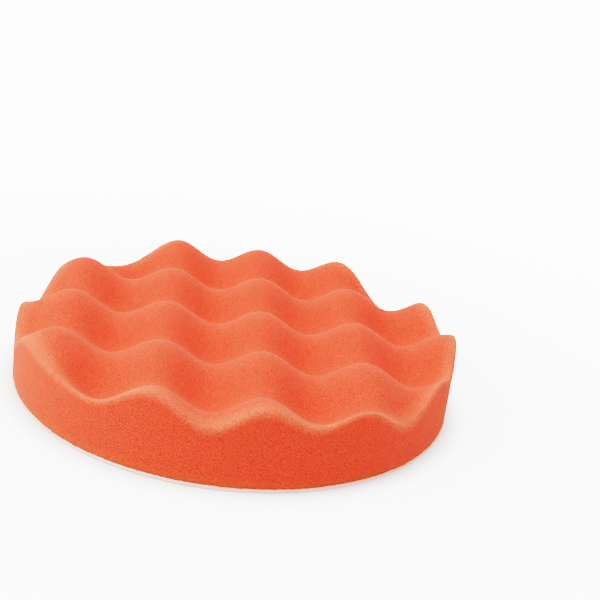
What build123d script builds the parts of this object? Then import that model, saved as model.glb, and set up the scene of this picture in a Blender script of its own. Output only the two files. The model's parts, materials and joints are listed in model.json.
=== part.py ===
"""Waffle-faced foam polishing pad with a hook-and-loop back.

Millimetres, +Z up. The pad lies on its loop face: the origin is the centre of that
face, Z = 0 is the surface it lies on, and the first set of waffle waves runs along X.
Four layers, from the bottom up: loop pile, knitted cloth, adhesive film, foam.
"""
from build123d import *
from math import cos, pi, radians, sin
import os

# Driving dimensions
pad_diameter = 180.0      # across the cloth, the widest layer
pile_height = 0.6         # loops that the backing plate's hooks catch
cloth_thickness = 0.6     # knitted ground that the loops stand on
film_thickness = 0.2      # hot-melt film that bonds the cloth to the foam
mean_height = 25.0        # loop face to the waffle's mid level
wave_depth = 7.85         # crest to trough of either set of waves
first_wave_length = 39.0  # crest to crest along X
cross_wave_length = 40.5  # crest to crest of the second set
cross_wave_skew = 2.8     # degrees by which the second set is off square
first_crest = 9.4         # from the centre to a crest of the first set
cross_crest = -2.3        # from the centre to a crest of the second set
rim_radius = 1.0          # soft edge between the waffle and the wall
foam_inset = 0.3          # foam's wall stands just inside the cloth's edge
film_inset = 0.5          # film stops short of the cloth's edge
pile_inset = 0.6          # loops stop short of the cloth's edge

# Derived
pad_radius = pad_diameter / 2
cloth_bottom = pile_height
film_bottom = cloth_bottom + cloth_thickness
foam_bottom = film_bottom + film_thickness
crest_height = mean_height + wave_depth
blank_height = crest_height + 5 - foam_bottom

os.makedirs("parts", exist_ok=True)


def waffle_height(x, y):
    """Height of the waffled face above the loop face: two crossed sets of waves."""
    skew = radians(cross_wave_skew)
    across = x * sin(skew) + y * cos(skew)
    first_phase = 2 * pi * (x - first_crest) / first_wave_length
    cross_phase = 2 * pi * (across - cross_crest) / cross_wave_length
    return mean_height + wave_depth / 2 * (cos(first_phase) + cos(cross_phase))


def waffle_surface():
    """Smooth face through the waffle's heights, a little wider than the pad."""
    half_width = pad_radius + 5
    steps = 48
    line = [half_width * (2 * step / steps - 1) for step in range(steps + 1)]
    grid = [[Vector(x, y, waffle_height(x, y)) for y in line] for x in line]
    return Face.make_surface_from_array_of_points(grid, tol=0.01, min_deg=3, max_deg=8)


# Foam disc: die-cut round with an upright wall, its top cut by the waffle surface.
with BuildPart() as waffle_foam:
    with BuildSketch(Plane.XY.offset(foam_bottom)) as foam_outline:
        Circle(pad_radius - foam_inset)
    extrude(amount=blank_height)
    split(bisect_by=waffle_surface(), keep=Keep.BOTTOM)
    rim = waffle_foam.edges().filter_by(GeomType.BSPLINE)
    fillet(rim, radius=rim_radius)
waffle_foam.part.label = "waffle_foam"
export_step(waffle_foam.part, "parts/waffle_foam.step")

# Adhesive film: melted between the foam's flat underside and the cloth.
with BuildPart() as bond_film:
    with BuildSketch(Plane.XY.offset(film_bottom)) as film_outline:
        Circle(pad_radius - film_inset)
    extrude(amount=film_thickness)
bond_film.part.label = "bond_film"
export_step(bond_film.part, "parts/bond_film.step")

# Ground of the loop fabric: the knitted cloth that carries the loops.
with BuildPart() as loop_cloth:
    with BuildSketch(Plane.XY.offset(cloth_bottom)) as cloth_outline:
        Circle(pad_radius)
    extrude(amount=cloth_thickness)
loop_cloth.part.label = "loop_cloth"
export_step(loop_cloth.part, "parts/loop_cloth.step")

# Pile of the loop fabric: the nap of loops, taken as one thin disc.
with BuildPart() as loop_pile:
    with BuildSketch(Plane.XY) as pile_outline:
        Circle(pad_radius - pile_inset)
    extrude(amount=pile_height)
loop_pile.part.label = "loop_pile"
export_step(loop_pile.part, "parts/loop_pile.step")

for layer in (waffle_foam, bond_film, loop_cloth, loop_pile):
    print(layer.part.label, layer.part.is_valid, round(layer.part.volume), "mm3")
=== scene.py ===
"""Waffle-faced foam polishing pad, lying on its loop face. Metres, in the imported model's frame."""

import json
import math

import bpy
from mathutils import Matrix, Vector

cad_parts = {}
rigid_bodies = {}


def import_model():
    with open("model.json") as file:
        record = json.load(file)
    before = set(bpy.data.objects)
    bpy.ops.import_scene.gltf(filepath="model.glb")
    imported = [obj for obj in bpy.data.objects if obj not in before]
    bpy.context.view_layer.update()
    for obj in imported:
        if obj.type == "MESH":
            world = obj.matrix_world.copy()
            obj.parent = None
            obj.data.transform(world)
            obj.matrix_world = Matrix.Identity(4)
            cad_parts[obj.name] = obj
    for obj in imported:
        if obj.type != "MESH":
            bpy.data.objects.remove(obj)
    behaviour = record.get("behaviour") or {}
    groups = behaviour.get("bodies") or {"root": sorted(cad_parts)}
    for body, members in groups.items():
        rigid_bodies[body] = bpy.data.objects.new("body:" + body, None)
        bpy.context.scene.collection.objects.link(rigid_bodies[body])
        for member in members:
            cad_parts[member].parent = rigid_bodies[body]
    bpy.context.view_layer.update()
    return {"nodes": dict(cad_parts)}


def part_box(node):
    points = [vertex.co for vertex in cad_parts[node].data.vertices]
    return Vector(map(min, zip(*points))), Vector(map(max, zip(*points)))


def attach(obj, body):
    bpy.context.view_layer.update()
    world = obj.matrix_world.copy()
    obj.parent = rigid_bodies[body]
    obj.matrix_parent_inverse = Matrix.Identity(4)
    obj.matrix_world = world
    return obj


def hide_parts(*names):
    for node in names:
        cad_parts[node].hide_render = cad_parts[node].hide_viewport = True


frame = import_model()

# ---------------------------------------------------------------- camera
# The pad is seen from a little above its rim, from the side where the first waves run away
# from the eye, with the camera tipped slightly on its own axis.
pad_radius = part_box("loop_cloth")[1].x
camera_place = Vector((-0.1886, -4.7191, 2.2149)) * pad_radius
camera_heading = math.radians(-5.47)
camera_dip = math.radians(20.54)
camera_tip = math.radians(7.88)

bpy.ops.object.camera_add()
camera = bpy.context.object
camera.data.sensor_width = 36
camera.data.lens = 66.56
camera.data.clip_start = 0.01
camera.matrix_world = (
    Matrix.Translation(camera_place)
    @ Matrix.Rotation(camera_heading, 4, "Z")
    @ Matrix.Rotation(math.radians(90) - camera_dip, 4, "X")
    @ Matrix.Rotation(camera_tip, 4, "Z")
)
bpy.context.scene.camera = camera

# ---------------------------------------------------------------- foam disc
# Open-cell polyurethane foam, die-cut round from a sheet whose face was cut in crossed
# waves. Its cut cells leave the skin rough all over, and its rim is painted paler as a painted highlight.
foam_low, foam_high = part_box("waffle_foam")
foam_radius = foam_high.x
wave_depth = 0.00785
mean_height = foam_high.z - wave_depth
first_wave_length = 0.0390
first_crest = 0.0094
cross_wave_length = 0.0405
cross_crest = -0.0023
cross_wave_skew = math.radians(2.8)
mesh_face = 0.0007
merge_gap = 1e-6
uneven_lump = 0.012
uneven_depth = 0.0004
cell_lump = 0.0008
cell_depth = 0.0001

foam = bpy.data.objects.new("foam_disc", frame["nodes"]["waffle_foam"].data.copy())
foam.data.materials.clear()
bpy.context.collection.objects.link(foam)
bpy.ops.object.select_all(action="DESELECT")
foam.select_set(True)
bpy.context.view_layer.objects.active = foam
bpy.ops.object.mode_set(mode="EDIT")
bpy.ops.mesh.select_all(action="SELECT")
bpy.ops.mesh.remove_doubles(threshold=merge_gap)
bpy.ops.mesh.normals_make_consistent(inside=False)
bpy.ops.object.mode_set(mode="OBJECT")

even_faces = foam.modifiers.new("even_faces", "REMESH")
even_faces.mode = "VOXEL"
even_faces.voxel_size = mesh_face
bpy.ops.object.modifier_apply(modifier="even_faces")

soft_cut = foam.modifiers.new("soft_cut", "SMOOTH")
soft_cut.factor = 0.5
soft_cut.iterations = 3
bpy.ops.object.modifier_apply(modifier="soft_cut")


def roughen(piece, name, lump, depth):
    """Pushes a piece's skin in and out by lumps of one size, over one depth in all."""
    lumps = bpy.data.textures.new(name, "CLOUDS")
    lumps.noise_scale = lump
    swell = piece.modifiers.new(name, "DISPLACE")
    swell.texture = lumps
    swell.texture_coords = "LOCAL"
    swell.strength = depth
    swell.mid_level = 0.5
    bpy.ops.object.modifier_apply(modifier=name)


roughen(foam, "uneven_cut", uneven_lump, uneven_depth)
roughen(foam, "open_cells", cell_lump, cell_depth)
bpy.ops.object.shade_smooth()


def fill(made, inputs):
    """Gives a node's inputs their numbers and colours, or links them to other nodes."""
    for key, value in inputs.items():
        if isinstance(value, bpy.types.NodeSocket):
            made.id_data.links.new(value, made.inputs[key])
        else:
            made.inputs[key].default_value = value


def node_maker(tree):
    """A function that adds nodes to one tree."""
    def node(kind, inputs, **settings):
        made = tree.nodes.new(kind)
        for key, value in settings.items():
            setattr(made, key, value)
        fill(made, inputs)
        return made
    return node


def new_finish(name):
    """A fresh material, its Principled shader, its node maker and its Object coordinates."""
    material = bpy.data.materials.new(name)
    material.use_nodes = True
    node = node_maker(material.node_tree)
    place = node("ShaderNodeTexCoord", {}).outputs["Object"]
    return material, material.node_tree.nodes["Principled BSDF"], node, place


def math_node(node, operation, *values):
    """One Math node's output."""
    return node("ShaderNodeMath", dict(enumerate(values)), operation=operation).outputs[0]


def smooth_step(node, value, low, high, bottom=0.0, top=1.0):
    """Goes smoothly from bottom to top as the value goes from low to high."""
    given = {"Value": value, "From Min": low, "From Max": high, "To Min": bottom, "To Max": top}
    return node("ShaderNodeMapRange", given, interpolation_type="SMOOTHSTEP").outputs[0]


def blend_colour(node, amount, first, second, blend_type="MIX"):
    """A blend of two colours."""
    given = {0: amount, 6: first, 7: second}
    return node("ShaderNodeMix", given, data_type="RGBA", blend_type=blend_type).outputs[2]


def new_group(name, takes, gives):
    """An empty shader node group with its sockets; hands back its input node and node maker."""
    group = bpy.data.node_groups.new(name, "ShaderNodeTree")
    for socket, kind in takes:
        group.interface.new_socket(socket, in_out="INPUT", socket_type=kind)
    for socket, kind in gives:
        group.interface.new_socket(socket, in_out="OUTPUT", socket_type=kind)
    node = node_maker(group)
    return group, node("NodeGroupInput", {}).outputs, node


# Shared by foam, cloth and floor: 0 inside one distance from the pad's axis, 1 outside another.
edge_mask, given, node = new_group("edge_mask",
    [("Place", "NodeSocketVector"), ("Inner Radius", "NodeSocketFloat"), ("Outer Radius", "NodeSocketFloat")],
    [("Mask", "NodeSocketFloat")])
along, aside, height = node("ShaderNodeSeparateXYZ", {0: given["Place"]}).outputs
from_axis = math_node(node, "SQRT", math_node(node, "ADD",
    math_node(node, "MULTIPLY", along, along), math_node(node, "MULTIPLY", aside, aside)))
outward = smooth_step(node, from_axis, given["Inner Radius"], given["Outer Radius"])
node("NodeGroupOutput", {"Mask": outward})

# Shared by all four pieces: an even scatter of grains, and a mask of those over a level.
grain, given, node = new_group("grain",
    [("Place", "NodeSocketVector"), ("Grains per Metre", "NodeSocketFloat"), ("Fineness", "NodeSocketFloat"),
     ("Low", "NodeSocketFloat"), ("High", "NodeSocketFloat")],
    [("Height", "NodeSocketFloat"), ("Mask", "NodeSocketFloat")])
scatter = node("ShaderNodeTexNoise",
    {"Vector": given["Place"], "Scale": given["Grains per Metre"], "Detail": given["Fineness"]}).outputs[0]
node("NodeGroupOutput", {"Height": scatter, "Mask": smooth_step(node, scatter, given["Low"], given["High"])})


def edge_mask_of(node, place, inner, outer):
    """Places the edge mask group."""
    given = {"Place": place, "Inner Radius": inner, "Outer Radius": outer}
    return node("ShaderNodeGroup", given, node_tree=edge_mask).outputs["Mask"]


def grain_of(node, place, per_metre, fineness, low=0.0, high=1.0):
    """Places the grain group: its height and its mask."""
    given = {"Place": place, "Grains per Metre": per_metre, "Fineness": fineness, "Low": low, "High": high}
    return node("ShaderNodeGroup", given, node_tree=grain).outputs


deep_orange = (1.0, 0.080, 0.045, 1)
# Crest tone: painted light on the crests, paler than the painted shade of the pits.
crest_light_orange = (1.0, 0.086, 0.051, 1)
foot_orange = (0.84, 0.100, 0.047, 1)
# Rim tone and its share, width and drop: a painted highlight along the rim's top edge.
rim_highlight_orange = (1.0, 0.185, 0.114, 1)
rim_highlight_share = 0.45
rim_highlight_width = 0.0070
rim_highlight_drop = 0.0036
foot_height = 0.005
cells_per_metre = 3000.0
# Tone of the cell mouths: painted shade in the pores.
painted_pore_shade = (0.46, 0.62, 0.54, 1)
white = (1.0, 1.0, 1.0, 1)

orange_foam, skin, node, place = new_finish("orange_foam")
along, aside, height = node("ShaderNodeSeparateXYZ", {0: place}).outputs

# Height of the waffle over each point tells its face from the die-cut wall.
first_wave = math_node(node, "COSINE", math_node(node, "MULTIPLY",
    math_node(node, "SUBTRACT", along, first_crest), 2 * math.pi / first_wave_length))
across = math_node(node, "ADD", math_node(node, "MULTIPLY", along, math.sin(cross_wave_skew)),
    math_node(node, "MULTIPLY", aside, math.cos(cross_wave_skew)))
cross_wave = math_node(node, "COSINE", math_node(node, "MULTIPLY",
    math_node(node, "SUBTRACT", across, cross_crest), 2 * math.pi / cross_wave_length))
waffle = math_node(node, "MULTIPLY_ADD", math_node(node, "ADD", first_wave, cross_wave),
    wave_depth / 2, mean_height)
below_face = math_node(node, "SUBTRACT", waffle, height)
on_face = smooth_step(node, below_face, rim_highlight_drop, 0.0004)
# A band along the top of the rim, where the painted highlight goes.
near_wall = edge_mask_of(node, place, foam_radius - rim_highlight_width, foam_radius - 0.0008)
painted_rim_highlight = math_node(node, "MULTIPLY", on_face, near_wall)

# The face is painted paler towards its crests as painted light, and stays deeper in its pits as painted
# shade; the wall yellows at its foot, and the rim carries a painted highlight.
painted_crest_light = smooth_step(node, height, mean_height - 0.95 * wave_depth, mean_height + 0.9 * wave_depth)
wall_height = smooth_step(node, height, foam_low.z, foam_low.z + foot_height)
wall_tone = blend_colour(node, wall_height, foot_orange, deep_orange)
face_tone = blend_colour(node, math_node(node, "MULTIPLY", painted_crest_light, on_face), wall_tone, crest_light_orange)
rim_tone = blend_colour(node, math_node(node, "MULTIPLY", painted_rim_highlight, rim_highlight_share), face_tone, rim_highlight_orange)

# Cells: mouths about a third of a millimetre across, darkened as painted shade, in walls left at full colour.
cells = grain_of(node, place, cells_per_metre, 0.0, 0.36, 0.60)
pore_shade_tone = blend_colour(node, cells["Mask"], painted_pore_shade, white)
pores = node("ShaderNodeBump", {"Height": cells["Height"], "Strength": 0.4, "Distance": 0.0005})
fill(skin, {
    "Base Color": blend_colour(node, 1.0, rim_tone, pore_shade_tone, "MULTIPLY"),
    "Normal": pores.outputs["Normal"],
    "Roughness": 0.95,
    "Specular IOR Level": 0.1,
    "Sheen Weight": 0.11,
    "Sheen Roughness": 0.5,
    "Sheen Tint": (1.0, 0.62, 0.45, 1),
    "Subsurface Weight": 0.25,
    "Subsurface Scale": 0.004,
    "Subsurface Radius": (1.0, 0.15, 0.06),
})
foam.data.materials.append(orange_foam)
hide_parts("waffle_foam")
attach(foam, "root")

# ---------------------------------------------------------------- bond film
# Hot-melt adhesive film, laid between the foam and the cloth and melted by a heated press.
# It is milky, two tenths of a millimetre thick, and its edge oozes out unevenly.
film_low, film_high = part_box("bond_film")
film_sides = 900
ooze_length = 0.0025
ooze_depth = 0.0003
clouds_per_metre = 350.0
thin_milk = (0.72, 0.50, 0.38, 1)
thick_milk = (0.86, 0.72, 0.62, 1)


def disc_blank(name, low, high, sides):
    """A flat disc between two corners of a box, closed by fans, ready for its edge work."""
    bpy.ops.object.select_all(action="DESELECT")
    bpy.ops.mesh.primitive_cylinder_add(vertices=sides, radius=high.x, depth=high.z - low.z,
        end_fill_type="TRIFAN", location=(0, 0, (low.z + high.z) / 2))
    disc = bpy.context.object
    disc.name = name
    bpy.ops.object.transform_apply(location=True)
    return disc


film = disc_blank("bond_film_sheet", film_low, film_high, film_sides)
roughen(film, "oozed_edge", ooze_length, ooze_depth)
bpy.ops.object.shade_smooth_by_angle(angle=math.radians(50))

milky_film, resin, node, place = new_finish("milky_film")
milk = grain_of(node, place, clouds_per_metre, 3.0, 0.3, 0.7)
fill(resin, {
    "Base Color": blend_colour(node, milk["Height"], thin_milk, thick_milk),
    "Roughness": math_node(node, "MULTIPLY_ADD", milk["Mask"], 0.25, 0.35),
})
film.data.materials.append(milky_film)
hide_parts("bond_film")
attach(film, "root")

# ---------------------------------------------------------------- loop pile
# The nap of the loop fabric: nylon loops in close rows, pressed a little flat, which the
# hooks of a backing plate catch. Two rings of loops stand along the cut edge.
pile_low, pile_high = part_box("loop_pile")
loop_height = pile_high.z - pile_low.z
loop_thread = 0.00014
loop_foot = 0.0001
loop_pitch = 0.0024
loop_rows = math.ceil(2 * pile_high.x / loop_pitch)
ring_pitch = 1.7 * loop_height
ring_radii = (pile_high.x - 0.0014, pile_high.x - 0.0027)
tangle_size = 0.0021
tangle_reach = 0.0013
strands_per_metre = 2500.0
soil_per_metre = 60.0
soil_share = 0.35
clean_yarn = (0.90, 0.89, 0.87, 1)
shaded_yarn = (0.70, 0.69, 0.68, 1)
soiled_yarn = (0.74, 0.70, 0.66, 1)


def select_by(piece, wanted):
    """In edit mode, selects only the vertices whose place passes the test."""
    bpy.ops.object.mode_set(mode="OBJECT")
    for face in piece.data.polygons:
        face.select = False
    for edge in piece.data.edges:
        edge.select = False
    for vertex in piece.data.vertices:
        vertex.select = wanted(vertex.co)
    bpy.ops.object.mode_set(mode="EDIT")


# One loop: half a ring of thread, its two closed feet a little way into the cloth.
bpy.ops.object.select_all(action="DESELECT")
bpy.ops.mesh.primitive_torus_add(major_segments=10, minor_segments=3,
    major_radius=loop_height + loop_foot - loop_thread, minor_radius=loop_thread,
    rotation=(math.radians(90), 0, 0), location=(0, 0, pile_high.z + loop_foot))
pile = bpy.context.object
pile.name = "loop_nap"
bpy.ops.object.transform_apply(location=True, rotation=True)
bpy.ops.object.mode_set(mode="EDIT")
bpy.ops.mesh.select_mode(type="VERT")
select_by(pile, lambda spot: spot.z > pile_high.z + 1.5 * loop_foot)
bpy.ops.mesh.delete(type="VERT")
bpy.ops.mesh.select_all(action="SELECT")
bpy.ops.mesh.fill_holes(sides=0)
bpy.ops.mesh.select_all(action="SELECT")
bpy.ops.mesh.normals_make_consistent(inside=False)
bpy.ops.object.mode_set(mode="OBJECT")
edge_loop = pile.data.copy()

# Rows of loops over a square, cut to a round a little inside the edge rings.
for axis, name in enumerate(("loops_in_row", "rows")):
    repeat = pile.modifiers.new(name, "ARRAY")
    repeat.use_relative_offset = False
    repeat.use_constant_offset = True
    repeat.constant_offset_displace = [loop_pitch if side == axis else 0 for side in range(3)]
    repeat.count = loop_rows
    bpy.ops.object.modifier_apply(modifier=name)
half_span = loop_pitch * (loop_rows - 1) / 2
bpy.ops.object.mode_set(mode="EDIT")
bpy.ops.mesh.select_all(action="SELECT")
bpy.ops.transform.translate(value=(-half_span, -half_span, 0))
select_by(pile, lambda spot: spot.xy.length > ring_radii[1] - loop_height / 2)
bpy.ops.mesh.select_linked()
bpy.ops.mesh.delete(type="VERT")
bpy.ops.object.mode_set(mode="OBJECT")

edge_rings = []
for ring_radius in ring_radii:
    ring = bpy.data.objects.new("edge_loops", edge_loop.copy())
    bpy.context.collection.objects.link(ring)
    bpy.ops.object.select_all(action="DESELECT")
    ring.select_set(True)
    bpy.context.view_layer.objects.active = ring
    bpy.ops.object.mode_set(mode="EDIT")
    bpy.ops.mesh.select_all(action="SELECT")
    bpy.ops.transform.translate(value=(0, -ring_radius, 0))
    bpy.ops.mesh.spin(steps=int(2 * math.pi * ring_radius / ring_pitch), dupli=True,
        angle=2 * math.pi, center=(0, 0, 0), axis=(0, 0, 1))
    bpy.ops.object.mode_set(mode="OBJECT")
    edge_rings.append(ring)
bpy.ops.object.select_all(action="DESELECT")
for ring in edge_rings:
    ring.select_set(True)
pile.select_set(True)
bpy.context.view_layer.objects.active = pile
bpy.ops.object.join()

# The loops stray sideways and sag, while their feet stay at the cloth.
tangle = bpy.data.textures.new("tangle", "CLOUDS")
tangle.cloud_type = "COLOR"
tangle.noise_scale = tangle_size
stray = pile.modifiers.new("stray", "DISPLACE")
stray.texture = tangle
stray.texture_coords = "LOCAL"
stray.direction = "RGB_TO_XYZ"
stray.strength = tangle_reach
stray.mid_level = 0.5
heights = [vertex.co.z for vertex in pile.data.vertices]
bpy.ops.object.modifier_apply(modifier="stray")
for vertex, height_before in zip(pile.data.vertices, heights):
    if height_before > pile_high.z:
        vertex.co.z = height_before
    vertex.co.z = min(max(vertex.co.z, pile_low.z), pile_high.z + loop_foot)
bpy.ops.object.shade_smooth()

white_loops, yarn, node, place = new_finish("white_loops")
strands = grain_of(node, place, strands_per_metre, 2.0)["Height"]
soil_mask = grain_of(node, place, soil_per_metre, 3.0, 0.45, 0.75)["Mask"]
soil = math_node(node, "MULTIPLY", soil_mask, soil_share)
fill(yarn, {
    "Base Color": blend_colour(node, soil, blend_colour(node, strands, shaded_yarn, clean_yarn), soiled_yarn),
    "Roughness": 0.6,
    "Specular IOR Level": 0.3,
    "Sheen Weight": 0.3,
})
pile.data.materials.append(white_loops)
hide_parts("loop_pile")
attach(pile, "root")

# ---------------------------------------------------------------- loop cloth
# The knitted ground of the loop fabric: white nylon, cut round with the foam by the same
# die. Its cut edge shows the ends of its ribs, a little over a millimetre apart.
cloth_low, cloth_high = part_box("loop_cloth")
rib_pitch = 0.0012
rib_depth = 0.00022
rib_sides = 4
stray_depth = 0.0002
# Band along the cut edge: painted reflected light, orange bounced from the foam onto the white cloth.
bounce_band_inner = cloth_high.x - 0.0022
bounce_band_outer = cloth_high.x - 0.0006
fuzz_per_metre = 1800.0
edge_ribs = round(2 * math.pi * cloth_high.x / rib_pitch)
rib_valley = (0.86, 0.84, 0.82, 1)
rib_crown = (0.92, 0.91, 0.89, 1)
# Pinkish edge colour: painted reflected light from the orange foam.
painted_foam_bounce = (1.0, 0.52, 0.41, 1)
fuzz_shade = (0.90, 0.52, 0.42, 1)

cloth = disc_blank("loop_cloth_sheet", cloth_low, cloth_high, edge_ribs * rib_sides)
for vertex in cloth.data.vertices:
    if vertex.co.xy.length > cloth_high.x / 2:
        bearing = math.atan2(vertex.co.y, vertex.co.x)
        rib = 0.5 - 0.5 * math.cos(edge_ribs * bearing)
        stray_cut = 0.5 + 0.3 * math.sin(37 * bearing + 1.3) + 0.2 * math.sin(91 * bearing)
        vertex.co.xy *= 1 - (rib_depth * rib + stray_depth * stray_cut) / cloth_high.x
bpy.ops.object.shade_smooth_by_angle(angle=math.radians(50))

white_knit, knit, node, place = new_finish("white_knit")
ribs = node("ShaderNodeTexWave",
    {"Vector": place, "Scale": 2 * math.pi / (20 * rib_pitch), "Distortion": 0.4}).outputs["Fac"]
fuzz = grain_of(node, place, fuzz_per_metre, 2.0, 0.35, 0.7)
# Painted reflected light from the foam tints the band along the edge.
at_edge = edge_mask_of(node, place, bounce_band_inner, bounce_band_outer)
edge_tone = blend_colour(node, at_edge, blend_colour(node, ribs, rib_valley, rib_crown), painted_foam_bounce)
fuzz_share = math_node(node, "MULTIPLY", fuzz["Mask"], 0.4)
weave = node("ShaderNodeBump", {"Height": fuzz["Height"], "Strength": 0.4, "Distance": 0.0003})
fill(knit, {
    "Base Color": blend_colour(node, fuzz_share, edge_tone, fuzz_shade),
    "Normal": weave.outputs["Normal"],
    "Roughness": 0.85,
    "Sheen Weight": 0.3,
})
cloth.data.materials.append(white_knit)
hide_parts("loop_cloth")
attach(cloth, "root")

# ---------------------------------------------------------------- floor, light
# A near-white floor, which shows a glow of its own that dies away under and beside the pad
# as a painted contact shadow and a wider painted shade, a soft round key light from the
# upper left, and an even white surround.
floor_grey = (0.6, 0.6, 0.6, 1)
own_glow = 0.25
open_glow = 2.2
far_glow = 3.0
most_glow = 6.0
key_place = Vector((-0.78, -0.20, 1.0))
key_target = Vector((0, 0, 0.02))

bpy.ops.object.select_all(action="DESELECT")
bpy.ops.mesh.primitive_plane_add(size=40)
floor = bpy.context.object
floor.name = "floor"
white_floor, paint, node, place = new_finish("white_floor")
# The glow the camera sees is painted darker under and beside the pad: a painted contact shadow, and a wider
# painted shade that fades out over a few pad radii.
contact_shadow_fade = edge_mask_of(node, place, pad_radius - 0.002, pad_radius + 0.011)
wide_shade_fade = edge_mask_of(node, place, pad_radius, 4 * pad_radius)
spread_glow = math_node(node, "ADD", math_node(node, "MULTIPLY", contact_shadow_fade, open_glow),
    math_node(node, "MULTIPLY", wide_shade_fade, far_glow))
seen_glow = math_node(node, "MULTIPLY", spread_glow, node("ShaderNodeLightPath", {}).outputs["Is Camera Ray"])
glow_share = math_node(node, "DIVIDE", math_node(node, "ADD", seen_glow, own_glow), most_glow)
fill(paint, {
    "Base Color": floor_grey,
    "Roughness": 0.9,
    "Specular IOR Level": 0.0,
    "Emission Color": blend_colour(node, glow_share, (0, 0, 0, 1), white),
    "Emission Strength": most_glow,
})
floor.data.materials.append(white_floor)

bpy.ops.object.light_add(type="AREA", location=key_place)
key = bpy.context.object
key.name = "key"
key.data.shape = "DISK"
key.data.size = 0.8
key.data.energy = 19.5
key.rotation_euler = (key_target - key_place).to_track_quat("-Z", "Y").to_euler()

studio = bpy.data.worlds.new("studio")
studio.use_nodes = True
fill(studio.node_tree.nodes["Background"], {"Color": white, "Strength": 1.25})
bpy.context.scene.world = studio
bpy.context.scene.view_settings.view_transform = "Filmic"
bpy.context.scene.view_settings.look = "Very High Contrast"
